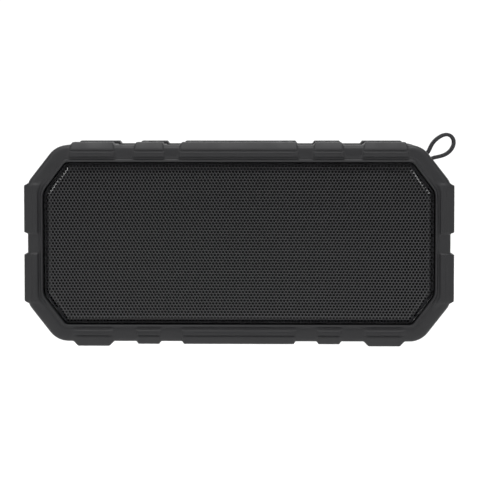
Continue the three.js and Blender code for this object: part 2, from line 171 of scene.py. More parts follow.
def relief(tree, shader, height, depth, strength=1.0):
    """Bump whose full height is depth millimetres."""
    inputs = {"Height": height, "Distance": depth * MM, "Strength": strength}
    feed(tree, shader, "Normal", add(tree, "ShaderNodeBump", inputs=inputs).outputs[0])


def moulded(name, dark, light, rough, grain, depth, patch=9.0, ior=1.5):
    """A moulded surface: an even grain from the tool, with slow changes of shade and sheen."""
    material, tree, shader = surface(name, rough[0], ior=ior)
    where = coordinates(tree)
    slow = noise(tree, where, patch, 2.0)
    fine = noise(tree, where, grain, 2.0)
    feed(tree, shader, "Base Color", mixed(tree, slow, linear(dark), linear(light)))
    feed(tree, shader, "Roughness", spread(tree, slow, rough[0], rough[1]))
    relief(tree, shader, fine, depth)
    return material


def metal(name, colour, dull, rough, lay, size, depth):
    """Bare metal with the marks of its last working, longest where lay is small."""
    material, tree, shader = surface(name, rough[0], metallic=1.0)
    marks = noise(tree, coordinates(tree, lay), size, 4.0)
    feed(tree, shader, "Base Color", mixed(tree, marks, linear(colour), linear(dull)))
    feed(tree, shader, "Roughness", spread(tree, marks, rough[0], rough[1]))
    relief(tree, shader, marks, depth)
    return material


def woven(name, dark, light, pitch, depth, source="Object", turn=0.0, rough=0.85):
    """Plain weave: threads one way over and under threads the other way, coloured darker in the hollows
    between them as painted shade.
    """
    material, tree, shader = surface(name, rough)
    where = add(tree, "ShaderNodeTexCoord").outputs[source]
    axis = "Y_AXIS" if source == "Object" else "Z_AXIS"
    turned_place = {"Vector": where, "Angle": turn}
    where = add(tree, "ShaderNodeVectorRotate", {"rotation_type": axis}, turned_place).outputs[0]
    parts = add(tree, "ShaderNodeSeparateXYZ", inputs={0: where}).outputs
    second = parts[2] if source == "Object" else parts[1]
    waves = []
    for part in (parts[0], second):
        angle = sums(tree, "MULTIPLY", part, 2 * math.pi / (pitch * MM))
        waves.append(sums(tree, "SINE", angle, 0.0))
    weave = sums(tree, "MULTIPLY", waves[0], waves[1])
    height = spread(tree, weave, 0.0, 1.0, -1.0, 1.0)
    fibre = noise(tree, where, pitch * 0.4, 2.0)
    both = sums(tree, "MULTIPLY_ADD", fibre, 0.35, height)
    # The colour follows the weave's height: the dark colour in the hollows between threads is painted shade.
    feed(tree, shader, "Base Color", mixed(tree, height, linear(dark), linear(light)))
    relief(tree, shader, both, depth)
    return material


# Thick soft rubber: fine even grain that spreads the highlights on every edge
rubber = moulded("moulded bumper rubber", "19191b", "202022", (0.5, 0.62), 0.35, 0.03, ior=1.45)
# Harder moulded shell between the bumpers: a tighter grain and a little more sheen
housing_plastic = moulded("moulded housing plastic", "262628", "2c2c2e", (0.42, 0.52), 0.25, 0.012)
# Stamped and powder-coated sheet steel: dark paint with a faint orange peel
grille_paint = moulded("powder-coated grille steel", "2d2d2f", "323234", (0.28, 0.3), 0.5, 0.004, ior=1.65)
# Thin black cloth behind the grille: dull threads of the cloth's own black, deepened further as painted
# shade so the holes stay dark
black_cloth_and_hole_shade = woven("woven acoustic cloth", "030303", "080808", 0.5, 0.06, rough=0.95)
# Moulded inner shell parts: plain dark plastic with a satin face
inner_plastic = moulded("moulded inner plastic", "19191b", "1f1f21", (0.4, 0.5), 0.4, 0.01)
# Soft smooth rubber of seals, rolls and the port cover: matt, nearly grainless
seal_rubber = moulded("moulded seal rubber", "161617", "1c1c1d", (0.55, 0.68), 0.6, 0.012)
# Pressed pulp of the cones: short fibres in a dull felt
cone_paper = moulded("pressed cone paper", "141414", "242424", (0.75, 0.9), 0.15, 0.05, 1.2)
# Zinc-plated stamped steel: pale metal with faint rolling marks
plated_steel = metal("zinc-plated steel", "b4b5b8", "8e9093", (0.28, 0.42), (1, 8, 8), 1.5, 0.004)
# Turned stainless steel of the pin and screws: fine rings round the turning axis
turned_steel = metal("turned stainless steel", "8c8c90", "6c6c70", (0.25, 0.36), (1, 14, 1), 1.0, 0.004)
# Sintered ferrite of the magnets: dark grey ceramic with open pores
ferrite = moulded("sintered ferrite", "1d1d1f", "2d2d30", (0.5, 0.7), 0.3, 0.03, 3.0)
# Glass-fibre board under green solder mask: slightly glossy with darker tracks
circuit_board = moulded("circuit board under solder mask", "0b2e1c", "17492d", (0.3, 0.45), 1.4, 0.02, 2.2)
# Shrink film round the cells: glossy blue film
battery_wrap = moulded("shrink-wrapped battery film", "1b4483", "22509a", (0.2, 0.3), 2.5, 0.05, 14.0)
# Flat woven webbing of the strap: ribs of thread seen close up, with painted shade darkening the hollows
# between them
strap_weave = woven("woven strap webbing", "1b1b1d", "343437", 0.55, 0.1, "UV", math.pi / 4, 0.7)


def clear_lens():
    clear = {"Transmission Weight": 0.9}
    material, tree, shader = surface("clear moulded lens", 0.12, ior=1.49, extra=clear)
    cloudy = noise(tree, coordinates(tree), 0.6, 1.0)
    feed(tree, shader, "Base Color", mixed(tree, cloudy, linear("d6dde2"), linear("eef2f4")))
    return material


# Small clear light guide in the top: pale and glassy
lens_plastic = clear_lens()

NODE_FINISH = {
    "front_frame": rubber, "rear_frame": rubber, "grille": grille_paint, "acoustic_cloth": black_cloth_and_hole_shade,
    "front_baffle": inner_plastic, "front_gasket": seal_rubber, "rear_gasket": seal_rubber,
    "centre_housing": housing_plastic, "key_board": circuit_board, "status_lens": lens_plastic,
    "microphone": plated_steel, "back_panel": inner_plastic, "radiator_frame": inner_plastic,
    "radiator_surround": seal_rubber, "radiator_plate": plated_steel, "main_board": circuit_board,
    "usb_socket": plated_steel, "aux_socket": inner_plastic, "amplifier_heat_sink": plated_steel,
    "radio_module": plated_steel, "battery_pack": battery_wrap, "lower_battery_clamp": inner_plastic,
    "upper_battery_clamp": inner_plastic, "port_cover": seal_rubber, "port_cover_hinge": seal_rubber,
    "strap_pin": turned_steel, "hanging_strap": strap_weave,
}
PART_FINISH = {
    "basket": plated_steel, "motor": ferrite, "cone": cone_paper, "dust_cap": cone_paper,
    "voice_coil": plated_steel, "surround": seal_rubber, "spider": black_cloth_and_hole_shade,
    "button": rubber, "switch": plated_steel,
}
for name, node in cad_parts.items():
    finish = NODE_FINISH.get(name)
    if finish is None and name.startswith("case_screw"):
        finish = turned_steel
    if finish is None:
        finish = next(m for part, m in PART_FINISH.items() if name.endswith(part))
    node.data.materials.clear()
    node.data.materials.append(finish)


# ---- meshes --------------------------------------------------------------------------------------
def piece(name, points, faces, material, smooth=35):
    """An object from points in millimetres, faces turned outward, smooth below the given angle."""
    mesh = bpy.data.meshes.new(name)
    places = [tuple(p) for p in np.asarray(points, float) * MM]
    mesh.from_pydata(places, [], [tuple(int(i) for i in f) for f in faces])
    work = bmesh.new()
    work.from_mesh(mesh)
    bmesh.ops.remove_doubles(work, verts=work.verts, dist=1e-7)
    bmesh.ops.recalc_face_normals(work, faces=work.faces)
    limit = math.radians(smooth)
    for face in work.faces:
        face.smooth = True
    for edge in work.edges:
        edge.smooth = len(edge.link_faces) == 2 and edge.calc_face_angle(0) < limit
    work.to_mesh(mesh)
    work.free()
    mesh.materials.append(material)
    thing = bpy.data.objects.new(name, mesh)
    bpy.context.scene.collection.objects.link(thing)
    return thing


def joined(parts):
    """Several (points, faces) as one."""
    points, faces = [], []
    for some_points, some_faces in parts:
        start = len(points)
        points.extend([tuple(p) for p in some_points])
        faces.extend([tuple(i + start for i in f) for f in some_faces])
    return points, faces


def swept(rings, closed_ring=True, closed_way=True):
    """Quads between successive rings of points; open ways get caps."""
    count = len(rings[0])
    points = [p for ring in rings for p in ring]
    faces = []
    last = len(rings) if closed_way else len(rings) - 1
    for i in range(last):
        a, b = i * count, ((i + 1) % len(rings)) * count
        for j in range(count if closed_ring else count - 1):
            k = (j + 1) % count
            faces.append((a + j, a + k, b + k, b + j))
    if not closed_way:
        faces.append(tuple(range(count)))
        faces.append(tuple(range((len(rings) - 1) * count, len(rings) * count)))
    return points, faces


def turned(profile, x, z, sides, axis="y", start=0.0, turn=2 * math.pi):
    """A profile of (radius, place along the axis) turned about an axis through x and z (or x and y)."""
    whole = abs(turn - 2 * math.pi) < 1e-6
    steps = sides if whole else sides + 1
    rings = []
    for k in range(steps):
        a = start + turn * k / sides
        across = [(r * math.cos(a), r * math.sin(a), t) for r, t in profile]
        if axis == "y":
            rings.append([(x + p, t, MID_Z + z + q) for p, q, t in across])
        else:
            rings.append([(x + p, z + q, MID_Z + t) for p, q, t in across])
    return swept(rings, True, whole)


def prism(outline, low, high, place):
    """An upright prism: outline points and two levels, put in place by a function of (a, b, level)."""
    points = [place(a, b, low) for a, b in outline] + [place(a, b, high) for a, b in outline]
    n = len(outline)
    faces = [tuple(range(n)), tuple(range(n, 2 * n))]
    faces += [(i, (i + 1) % n, n + (i + 1) % n, n + i) for i in range(n)]
    return points, faces


def inset(oct_, d):
    run = math.hypot(oct_["h"] - oct_["vz"], oct_["w"] - oct_["vx"])
    nx = (oct_["h"] - oct_["vz"]) / run
    nz = (oct_["w"] - oct_["vx"]) / run
    reach = oct_["vx"] * nx + oct_["h"] * nz - d
    w, h = oct_["w"] - d, oct_["h"] - d
    return {"w": w, "h": h, "vx": (reach - h * nz) / nx, "vz": (reach - w * nx) / nz}


def arcs(oct_, top, side, steps):
    """The eight rounded corners of an octagon, counterclockwise from the top right one."""
    w, h, vx, vz = oct_["w"], oct_["h"], oct_["vx"], oct_["vz"]
    corners = [
        (vx, h, top), (-vx, h, top), (-w, vz, side), (-w, -vz, side),
        (-vx, -h, top), (vx, -h, top), (w, -vz, side), (w, vz, side),
    ]
    found = []
    for i, (x, z, r) in enumerate(corners):
        here = np.array((x, z))
        back = np.array(corners[i - 1][:2]) - here
        on = np.array(corners[(i + 1) % 8][:2]) - here
        back, on = back / np.linalg.norm(back), on / np.linalg.norm(on)
        half = math.acos(float(back @ on)) / 2
        middle = here + (back + on) / np.linalg.norm(back + on) * r / math.sin(half)
        first = here + back * r / math.tan(half) - middle
        turn = math.pi - 2 * half
        arc = []
        for k in range(steps + 1):
            c, s = math.cos(turn * k / steps), math.sin(turn * k / steps)
            arc.append(middle + np.array((first[0] * c - first[1] * s, first[0] * s + first[1] * c)))
        found.append(arc)
    return found


SIDE_ENDS = [(a, b, SIDE_SLANT) for a, b in SIDE_PADS]
PADS_BY_EDGE = {
    "top": [(a, b, PAD_SLANT) for a, b in TOP_PADS],
    "bottom": [(a, b, PAD_SLANT) for a, b in BOTTOM_PADS] + [(a, b, FOOT_SLANT) for a, b in FEET],
    "left": SIDE_ENDS,
    "right": SIDE_ENDS,
}


def stops(start, end, pads):
    """Places along an edge: every few millimetres, and close together over each pad's slopes."""
    step = SIDE_STEP if pads is SIDE_ENDS else EDGE_STEP
    places = set(np.round(np.arange(-84, 84.1, step), 3))
    for low, high, slant in pads:
        for t in np.linspace(-2.0 / slant, 1.2, 13):
            places.add(round(low - slant + slant * float(t), 3))
            places.add(round(high + slant - slant * float(t), 3))
    a, b = min(start, end), max(start, end)
    kept = sorted(p for p in places if a + 0.3 < p < b - 0.3)
    return kept if start < end else kept[::-1]


def raised(edge, place, inward):
    """How far a pad is raised at a place on an edge, from 0 to 1, and its rise. Pads widen inward."""
    best, rise = 0.0, {"left": SIDE_PAD_RISE, "right": SIDE_PAD_RISE}.get(edge, PAD_RISE)
    for low, high, slant in PADS_BY_EDGE.get(edge, []):
        flare = inward * (TOP_FLARE if edge == "top" else FLARE)
        inside = min(place - (low - slant - flare), (high + slant + flare) - place) / slant
        share = min(1.0, max(0.0, inside))
        share = share * share * (3 - 2 * share)
        if share > best:
            best = share
            rise = FOOT_RISE if slant == FOOT_SLANT else rise
    return best, rise


def stations(inner, inner_round, outer, outer_round, steps=8):
    """Matching points of two octagons: (inner point, outer point, edge)."""
    a = arcs(inner, *inner_round, steps)
    b = arcs(outer, *outer_round, steps)
    edges = ["top", "chamfer", "left", "chamfer", "bottom", "chamfer", "right", "chamfer"]
    corner_edges = ["top", "top", "left", "left", "bottom", "bottom", "right", "right"]
    ring = []
    for k in range(8):
        ring += [(p, q, corner_edges[k]) for p, q in zip(a[k], b[k])]
        p0, p1 = a[k][-1], a[(k + 1) % 8][0]
        q0, q1 = b[k][-1], b[(k + 1) % 8][0]
        edge = edges[k]
        if edge == "chamfer":
            for t in np.linspace(0, 1, 7)[1:-1]:
                ring.append((p0 + (p1 - p0) * t, q0 + (q1 - q0) * t, "chamfer"))
            continue
        axis = 0 if edge in ("top", "bottom") else 1
        for place in stops(q0[axis], q1[axis], PADS_BY_EDGE[edge]):
            t = (place - q0[axis]) / (q1[axis] - q0[axis])
            q = q0 + (q1 - q0) * t
            p = q.copy()
            p[1 - axis] = p0[1 - axis]
            near, far = 0.6 * abs(q0[axis]), abs(q0[axis])
            pull = max(0.0, abs(place) - near) / (far - near)
            p[axis] = place - math.copysign(pull * (far - abs(p0[axis])), place)
            ring.append((p, q, edge))
    return ring


# ---- bumpers -----------------------------------------------------------------------------------
BASE_WIDTH = 6.9
# (distance out from the opening, depth from the face) on a raised pad, on the plain edge,
# share of any extra width, share of the pad's rise
SECTION = [
    ((0, 8.7), (0, 8.7), 0, 0), ((0, 4), (0, 4), 0, 0), ((0, 0.8), (0, 0.8), 0, 0),
    ((0.06, 0.52), (0.06, 0.52), 0, 0), ((0.22, 0.36), (0.22, 0.36), 0, 0),
    ((0.5, 0.3), (0.5, 0.3), 0, 0), ((0.74, 0.36), (0.74, 0.36), 0, 0),
    ((0.88, 0.55), (0.9, 0.46), 0, 0), ((0.98, 0.86), (1.05, 0.68), 0, 0),
    ((1.2, 0.98), (1.25, 0.8), 0.05, 0), ((1.6, 0.96), (1.5, 0.8), 0.1, 0),
    ((1.95, 0.72), (1.75, 0.74), 0.2, 0), ((2.2, 0.32), (2.0, 0.66), 0.35, 0),
    ((2.34, 0.1), (2.3, 0.62), 0.45, 0), ((2.55, 0.02), (2.7, 0.62), 0.5, 0),
    ((3.3, 0.02), (3.3, 0.66), 0.75, 0), ((3.9, 0.02), (3.8, 0.7), 1, 0),
    ((4.1, 0.1), (4.05, 0.72), 1, 0), ((4.22, 0.3), (4.2, 0.74), 1, 0),
    ((4.34, 0.52), (4.34, 0.76), 1, 0), ((4.5, 0.6), (4.5, 0.78), 1, 0),
    ((4.68, 0.52), (4.68, 0.8), 1, 0), ((4.85, 0.34), (4.85, 0.84), 1, 0.05),
    ((5.05, 0.36), (5.1, 0.88), 1, 0.1), ((5.4, 0.62), (5.5, 1.0), 1, 0.25),
    ((5.9, 1.1), (5.9, 1.18), 1, 0.55), ((6.35, 1.62), (6.2, 1.42), 1, 0.85),
    ((6.56, 1.92), (6.5, 1.8), 1, 1), ((6.72, 2.24), (6.7, 2.2), 1, 1),
    ((6.83, 2.66), (6.83, 2.7), 1, 1), ((6.9, 3.3), (6.9, 3.3), 1, 1),
    ((6.9, 12.25), (6.9, 12.25), 1, 1), ((6.78, 12.57), (6.78, 12.57), 1, 1),
    ((6.5, 12.7), (6.5, 12.7), 1, 1), ((4.1, 12.7), (4.1, 12.7), 1, 0), ((4.1, 8.7), (4.1, 8.7), 1, 0),
]
# The side pads have no groove, so these points of the section lie on a smooth slope instead
FLAT_SIDES = {18: (4.3, 0.06), 19: (4.45, 0.12), 20: (4.6, 0.2), 21: (4.75, 0.3), 22: (4.9, 0.42)}


def bumper(opening, opening_round, front):
    """Points and faces of a bumper ring; front is -1 for the front one and 1 for the rear one."""
    rings = []
    for p, q, edge in stations(opening, opening_round, OUTER, BUMPER_ROUND):
        width = float(np.linalg.norm(q - p))
        out = (q - p) / width
        ring = []
        axis = 0 if edge in ("top", "bottom") else 1
        push = np.array((0.0, math.copysign(1, q[1])) if axis == 0 else (math.copysign(1, q[0]), 0.0))
        for i, (pad, plain, wide, lift) in enumerate(SECTION):
            beside = (p + out * (plain[0] + (width - BASE_WIDTH) * wide))[axis]
            share, rise = raised(edge, beside, max(0.0, BASE_WIDTH - max(2.2, pad[0])))
            pad = FLAT_SIDES.get(i, pad) if edge in ("left", "right") else pad
            u = pad[0] * share + plain[0] * (1 - share) + (width - BASE_WIDTH) * wide
            depth = pad[1] * share + plain[1] * (1 - share)
            at = p + out * u + push * rise * share * lift
            ring.append((at[0], front * (HALF_DEPTH - depth), MID_Z + at[1]))
        rings.append(ring)
    return swept(rings)


def cut(thing, tools):
    """Takes other closed shapes, given as (points, faces), out of an object."""
    tool = piece("cutter", *joined(tools), thing.data.materials[0])
    modifier = thing.modifiers.new("cut", "BOOLEAN")
    modifier.operation = "DIFFERENCE"
    modifier.solver = "EXACT"
    modifier.object = tool
    depsgraph = bpy.context.evaluated_depsgraph_get()
    mesh = bpy.data.meshes.new_from_object(thing.evaluated_get(depsgraph), depsgraph=depsgraph)
    thing.modifiers.clear()
    thing.data = mesh
    bpy.data.objects.remove(tool)


def placed(thing, body, *nodes, slot=None):
    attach(thing, body)
    if nodes:
        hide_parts(*nodes)
    return thing


front_ring = piece("front_bumper", *bumper(OPENING, (2.5, 6), -1), rubber, 50)
placed(front_ring, "case", "front_frame", slot="bumper_rubber")

rear_ring = piece("rear_bumper", *bumper(REAR_OPENING, (3, 3), 1), rubber, 50)
HEAD_BORE = [(0, 22.2), (2.9, 22.2), (2.9, 25.7), (3.4, 26.2), (3.4, 30), (0, 30)]
SHANK_BORE = [(0, 10), (1.6, 10), (1.6, 23), (0, 23)]
cut(rear_ring, [turned(bore, x, z, 24) for x, z in SCREW_PLACES for bore in (HEAD_BORE, SHANK_BORE)])
placed(rear_ring, "case", "rear_frame", slot="bumper_rubber")


# ---- Geometry Nodes --------------------------------------------------------------------------------
def node_group(name, sizes):
    """A node tree that takes a geometry and named sizes."""
    tree = bpy.data.node_groups.new(name, "GeometryNodeTree")
    tree.interface.new_socket(name="Geometry", in_out="INPUT", socket_type="NodeSocketGeometry")
    for label, value in sizes.items():
        kind = "NodeSocketInt" if isinstance(value, int) else "NodeSocketFloat"
        tree.interface.new_socket(name=label, in_out="INPUT", socket_type=kind)
    tree.interface.new_socket(name="Geometry", in_out="OUTPUT", socket_type="NodeSocketGeometry")
    return tree, tree.nodes.new("NodeGroupInput").outputs


def ending(tree, geometry, material):
    real = add(tree, "GeometryNodeRealizeInstances", inputs={0: geometry}).outputs[0]
    weld_inputs = {"Geometry": real, "Distance": 0.02 * MM}
    welded = add(tree, "GeometryNodeMergeByDistance", inputs=weld_inputs).outputs[0]
    coat_inputs = {"Geometry": welded, "Material": material}
    coated = add(tree, "GeometryNodeSetMaterial", inputs=coat_inputs).outputs[0]
    add(tree, "NodeGroupOutput", inputs={0: coated})


def grown(base, tree, sizes):
    """The plain mesh that the tree makes from a base object, once its sizes are set."""
    modifier = base.modifiers.new(tree.name, "NODES")
    modifier.node_group = tree
    for item in tree.interface.items_tree:
        if item.in_out == "INPUT" and item.name in sizes:
            modifier[item.identifier] = sizes[item.name]
    depsgraph = bpy.context.evaluated_depsgraph_get()
    mesh = bpy.data.meshes.new_from_object(base.evaluated_get(depsgraph), depsgraph=depsgraph)
    base.modifiers.clear()
    return mesh


# ---- perforated grille -------------------------------------------------------------------------------
PITCH = 1.345
HOLE = 0.56  # radius
HOLE_SIDES = 12
GRILLE = {"face": -24.2, "flank": 1.9, "flank_depth": 1.5, "rim_y": -17.4, "sheet": 0.6, "inset": 0.6}
rim = inset(OPENING, GRILLE["inset"])
flat = inset(rim, GRILLE["flank"])
ROWS = 59
COLUMNS = 120
EASE = 1.6  # how far the bend reaches to each side


def hexagon_cells():
    """One cell with a hole and, marked plain, one without. Cells meet edge to edge."""
    reach = PITCH / math.sqrt(3)
    corner_turns = [math.radians(30 + 60 * k) for k in range(6)]
    corner = [(reach * math.cos(a), reach * math.sin(a)) for a in corner_turns]
    ring_turns = [math.radians(30 * j) for j in range(HOLE_SIDES)]
    ring = [(HOLE * math.cos(a), HOLE * math.sin(a)) for a in ring_turns]
    faces = []
    for k in range(6):
        h = [6 + (2 * k + j) % HOLE_SIDES for j in range(3)]
        faces += [(k, h[1], h[0]), (k, h[2], h[1]), (k, (k + 1) % 6, h[2])]
    start = 6 + HOLE_SIDES
    faces.append(tuple(start + k for k in range(6)))
    points = [(x * MM, y * MM, 0) for x, y in corner + ring + corner]
    mesh = bpy.data.meshes.new("cells")
    mesh.from_pydata(points, [], faces)
    plain = mesh.attributes.new("plain", "BOOLEAN", "FACE")
    plain.data.foreach_set("value", [False] * (len(faces) - 1) + [True])
    return mesh


def beyond(tree, x, y, limit):
    """Distance of a point outside an octagon, negative inside it."""
    run = math.hypot(limit["h"] - limit["vz"], limit["w"] - limit["vx"])
    nx, nz = (limit["h"] - limit["vz"]) / run, (limit["w"] - limit["vx"]) / run
    reach = (limit["vx"] * nx + limit["h"] * nz) * MM
    across = sums(tree, "SUBTRACT", x, limit["w"] * MM)
    up = sums(tree, "SUBTRACT", y, limit["h"] * MM)
    slope = sums(tree, "MULTIPLY_ADD", x, nx, sums(tree, "MULTIPLY_ADD", y, nz, -reach))
    return sums(tree, "MAXIMUM", slope, sums(tree, "MAXIMUM", across, up))


def perforation_tree(sizes):
    """Rows of holes, every other row moved by half a pitch, kept inside the grille's octagon."""
    tree, given = node_group("perforated sheet", sizes)
    row_pitch = sums(tree, "MULTIPLY", given["Pitch"], math.sqrt(3) / 2)
    wide = sums(tree, "MULTIPLY", given["Pitch"], COLUMNS - 1)
    high = sums(tree, "MULTIPLY", row_pitch, ROWS - 1)
    inputs = {"Size X": wide, "Size Y": high, "Vertices X": given["Columns"], "Vertices Y": given["Rows"]}
    grid = add(tree, "GeometryNodeMeshGrid", inputs=inputs).outputs[0]
    row = sums(tree, "MODULO", add(tree, "GeometryNodeInputIndex").outputs[0], given["Rows"])
    odd = sums(tree, "MODULO", row, 2.0)
    half_pitch = sums(tree, "MULTIPLY", given["Pitch"], 0.5)
    shift = sums(tree, "MULTIPLY", half_pitch, sums(tree, "SUBTRACT", odd, 0.5))
    offset = add(tree, "ShaderNodeCombineXYZ", inputs={0: shift}).outputs[0]
    lattice = add(tree, "GeometryNodeSetPosition", inputs={"Geometry": grid, "Offset": offset}).outputs[0]
    place = add(tree, "ShaderNodeSeparateXYZ", inputs={0: add(tree, "GeometryNodeInputPosition").outputs[0]})
    x = sums(tree, "ABSOLUTE", place.outputs[0], 0.0)
    y = sums(tree, "ABSOLUTE", place.outputs[1], 0.0)
    out = beyond(tree, x, y, rim)
    boolean = {"data_type": "BOOLEAN"}
    mark = add(tree, "GeometryNodeInputNamedAttribute", boolean, {"Name": "plain"}).outputs[0]
    parted = {"Geometry": given["Geometry"], "Selection": mark}
    cells = add(tree, "GeometryNodeSeparateGeometry", {"domain": "FACE"}, parted)
    holed = sums(tree, "LESS_THAN", out, sums(tree, "MULTIPLY", given["Border"], -1.0))
    kept = sums(tree, "LESS_THAN", out, sums(tree, "MULTIPLY", given["Pitch"], 0.62))
    plain = sums(tree, "SUBTRACT", kept, holed)
    join = add(tree, "GeometryNodeJoinGeometry")
    for cell, which in ((cells.outputs["Inverted"], holed), (cells.outputs["Selection"], plain)):
        inputs = {"Points": lattice, "Instance": cell, "Selection": which}
        filled = add(tree, "GeometryNodeInstanceOnPoints", inputs=inputs).outputs[0]
        tree.links.new(filled, join.inputs[0])
    ending(tree, join.outputs[0], grille_paint)
    return tree


def outside(x, z, limit):
    """The same distance for arrays of places, with the direction of the nearest edge."""
    run = math.hypot(limit["h"] - limit["vz"], limit["w"] - limit["vx"])
    nx, nz = (limit["h"] - limit["vz"]) / run, (limit["w"] - limit["vx"]) / run
    reach = limit["vx"] * nx + limit["h"] * nz
    x, z = np.abs(x), np.abs(z)
    ways = np.stack([x - limit["w"], z - limit["h"], x * nx + z * nz - reach])
    return ways.max(0), ways.argmax(0), (nx, nz)


def thickened(points, faces, thickness):
    """A sheet given a back and walls along every free edge."""
    count = len(points)
    back = points + np.array((0, thickness, 0))
    sides = {}
    for face in faces:
        for i, a in enumerate(face):
            sides[(a, face[(i + 1) % len(face)])] = True
    walls = [(b, a, a + count, b + count) for a, b in sides if (b, a) not in sides]
    reverse = [tuple(i + count for i in face[::-1]) for face in faces]
    return np.concatenate([points, back]), [*faces, *reverse, *walls]


grille_sizes = {"Pitch": PITCH * MM, "Border": 0.75 * MM, "Columns": COLUMNS, "Rows": ROWS}
cell_base = bpy.data.objects.new("cell_base", hexagon_cells())
bpy.context.scene.collection.objects.link(cell_base)
sheet_mesh = grown(cell_base, perforation_tree(grille_sizes), grille_sizes)
bpy.data.objects.remove(cell_base)

plane = np.zeros(len(sheet_mesh.vertices) * 3, np.float32)
sheet_mesh.vertices.foreach_get("co", plane)
plane = plane.reshape(-1, 3).astype(float) / MM
x, z = plane[:, 0].copy(), plane[:, 1].copy()
for _ in range(2):
    over, way, (nx, nz) = outside(x, z, rim)
    over = np.maximum(over, 0)
    x -= np.sign(x) * over * np.choose(way, [1.0, 0.0, nx])
    z -= np.sign(z) * over * np.choose(way, [0.0, 1.0, nz])
past, _, _ = outside(x, z, flat)
slope = GRILLE["flank_depth"] / GRILLE["flank"]
sag = np.where(past > EASE, slope * past, slope * (np.clip(past, -EASE, EASE) + EASE) ** 2 / (4 * EASE))
shaped = np.stack([x, GRILLE["face"] + sag, MID_Z + z], 1)
sheet_faces = [tuple(p.vertices) for p in sheet_mesh.polygons]
middle_x = np.array([shaped[list(f), 0].mean() for f in sheet_faces])
CUTS = [-200, -29.9, 29.9, 200]
for part, low, high in zip(("left", "middle", "right"), CUTS, CUTS[1:]):
    chosen = [f for f, m in zip(sheet_faces, middle_x) if low <= m < high]
    used = np.unique(np.concatenate([np.array(f) for f in chosen]))
    renumber = {int(v): i for i, v in enumerate(used)}
    faces = [tuple(renumber[i] for i in f) for f in chosen]
    section = piece(f"grille_{part}", *thickened(shaped[used], faces, GRILLE["sheet"]), grille_paint, 30)
    placed(section, "case", "grille", slot="grille_steel")


def band_ring(outer, outer_round, section, steps=8):
    """A ring that follows an octagon; its section is (distance inwards, depth)."""
    rings = []
    outside_line = [p for arc in arcs(outer, *outer_round, steps) for p in arc]
    inner_line = [p for arc in arcs(inset(outer, 1.0), *(r - 0.8 for r in outer_round), steps) for p in arc]
    for p, q in zip(outside_line, inner_line):
        rings.append([(*(p + (q - p) * d)[:1], y, MID_Z + (p + (q - p) * d)[1]) for d, y in section])
    return swept(rings)


SKIRT = [(0, -22.75), (0, -17.6), (0.2, -17.4), (0.6, -17.4), (0.6, -22.4)]
skirt = piece("grille_skirt", *band_ring(rim, (2.3, 5.6), SKIRT), grille_paint, 40)
placed(skirt, "case", slot="grille_steel")

# ---- acoustic cloth -----------------------------------------------------------------------------------
cloth_lo, cloth_hi = (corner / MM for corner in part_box("acoustic_cloth"))
cloth_line = [tuple(p) for arc in arcs(inset(OPENING, 3.4), 2, 4, 6) for p in arc]
cloth = piece(
    "cloth_behind_grille",
    *prism(cloth_line, cloth_lo.y, cloth_lo.y + 0.25, lambda a, b, t: (a, t, MID_Z + b)),
    black_cloth_and_hole_shade,
)
placed(cloth, "case", "acoustic_cloth", slot="acoustic_cloth")


# ---- softened CAD pieces ----------------------------------------------------------------------------
def soften(name, width, segments=2):
    """Rounds the sharp edges of a CAD node that stays in view."""
    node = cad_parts[name]
    weld = node.modifiers.new("weld", "WELD")
    weld.merge_threshold = 1e-6
    flatten = node.modifiers.new("flatten", "DECIMATE")
    flatten.decimate_type = "DISSOLVE"
    flatten.angle_limit = math.radians(1)
    bevel = node.modifiers.new("edges", "BEVEL")
    bevel.width = width * MM
    bevel.segments = segments
    bevel.limit_method = "ANGLE"
    bevel.angle_limit = math.radians(40)
    bevel.harden_normals = False


EDGE_WIDTHS = {"centre_housing": 0.3, "back_panel": 0.35, "port_cover": 0.35, "port_cover_hinge": 0.2}
for name, width in EDGE_WIDTHS.items():
    soften(name, width)

# ---- buttons -----------------------------------------------------------------------------------------
BUTTON_RADIUS = 4.1
BUTTON_TOP = 41.4


def stroke(points, width):
    """Outline of a line of the given width through a few points."""
    left, right = [], []
    for i, (a, b) in enumerate(points):
        before = np.array(points[max(0, i - 1)])
        after = np.array(points[min(len(points) - 1, i + 1)])
        way = (after - before) / np.linalg.norm(after - before)
        normal = np.array((-way[1], way[0])) * width / 2
        left.append(tuple(np.array((a, b)) + normal))
        right.append(tuple(np.array((a, b)) - normal))
    return left + right[::-1]


OPEN_RING = [
    (1.35 * math.cos(math.radians(a)), 1.35 * math.sin(math.radians(a))) for a in range(125, 416, 15)
]
SYMBOLS = {
    "power": [stroke(OPEN_RING, 0.4), stroke([(0, 0.3), (0, 1.8)], 0.4)],
    "volume_down": [stroke([(-1.4, 0), (1.4, 0)], 0.45)],
    "volume_up": [
        [(-0.22, -1.4), (0.22, -1.4), (0.22, -0.22), (1.4, -0.22), (1.4, 0.22), (0.22, 0.22),
         (0.22, 1.4), (-0.22, 1.4), (-0.22, 0.22), (-1.4, 0.22), (-1.4, -0.22), (-0.22, -0.22)],
    ],
    "play": [[(-0.9, -1.2), (1.3, 0), (-0.9, 1.2)]],
}
for name, symbol in SYMBOLS.items():
    low, high = (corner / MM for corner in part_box(f"{name}_button"))
    middle = (low + high) / 2
    flange = low.z - MID_Z + 1.7
    profile = [
        (0.01, flange - 1.7), (1.5, flange - 1.7), (1.5, flange),
        (5.4, flange), (5.4, flange + 1), (4.1, flange + 1),
        (4.1, 39.9), (4.06, 40.25), (3.95, 40.55), (3.7, 40.8), (3.4, 40.93), (3.0, 41.0),
        (2.2, 41.03), (1.2, 41.05), (0.01, 41.06),
    ]
    parts = [turned(profile, middle.x, middle.y, 40, "z")]
    for line in symbol:
        parts.append(prism(line, 40.9, 41.35, lambda a, b, t, m=middle: (m.x + a, m.y + b, MID_Z + t)))
    button = piece(f"{name}_key", *joined(parts), rubber, 40)
    placed(button, f"{name}_button", f"{name}_button", slot="bumper_rubber")

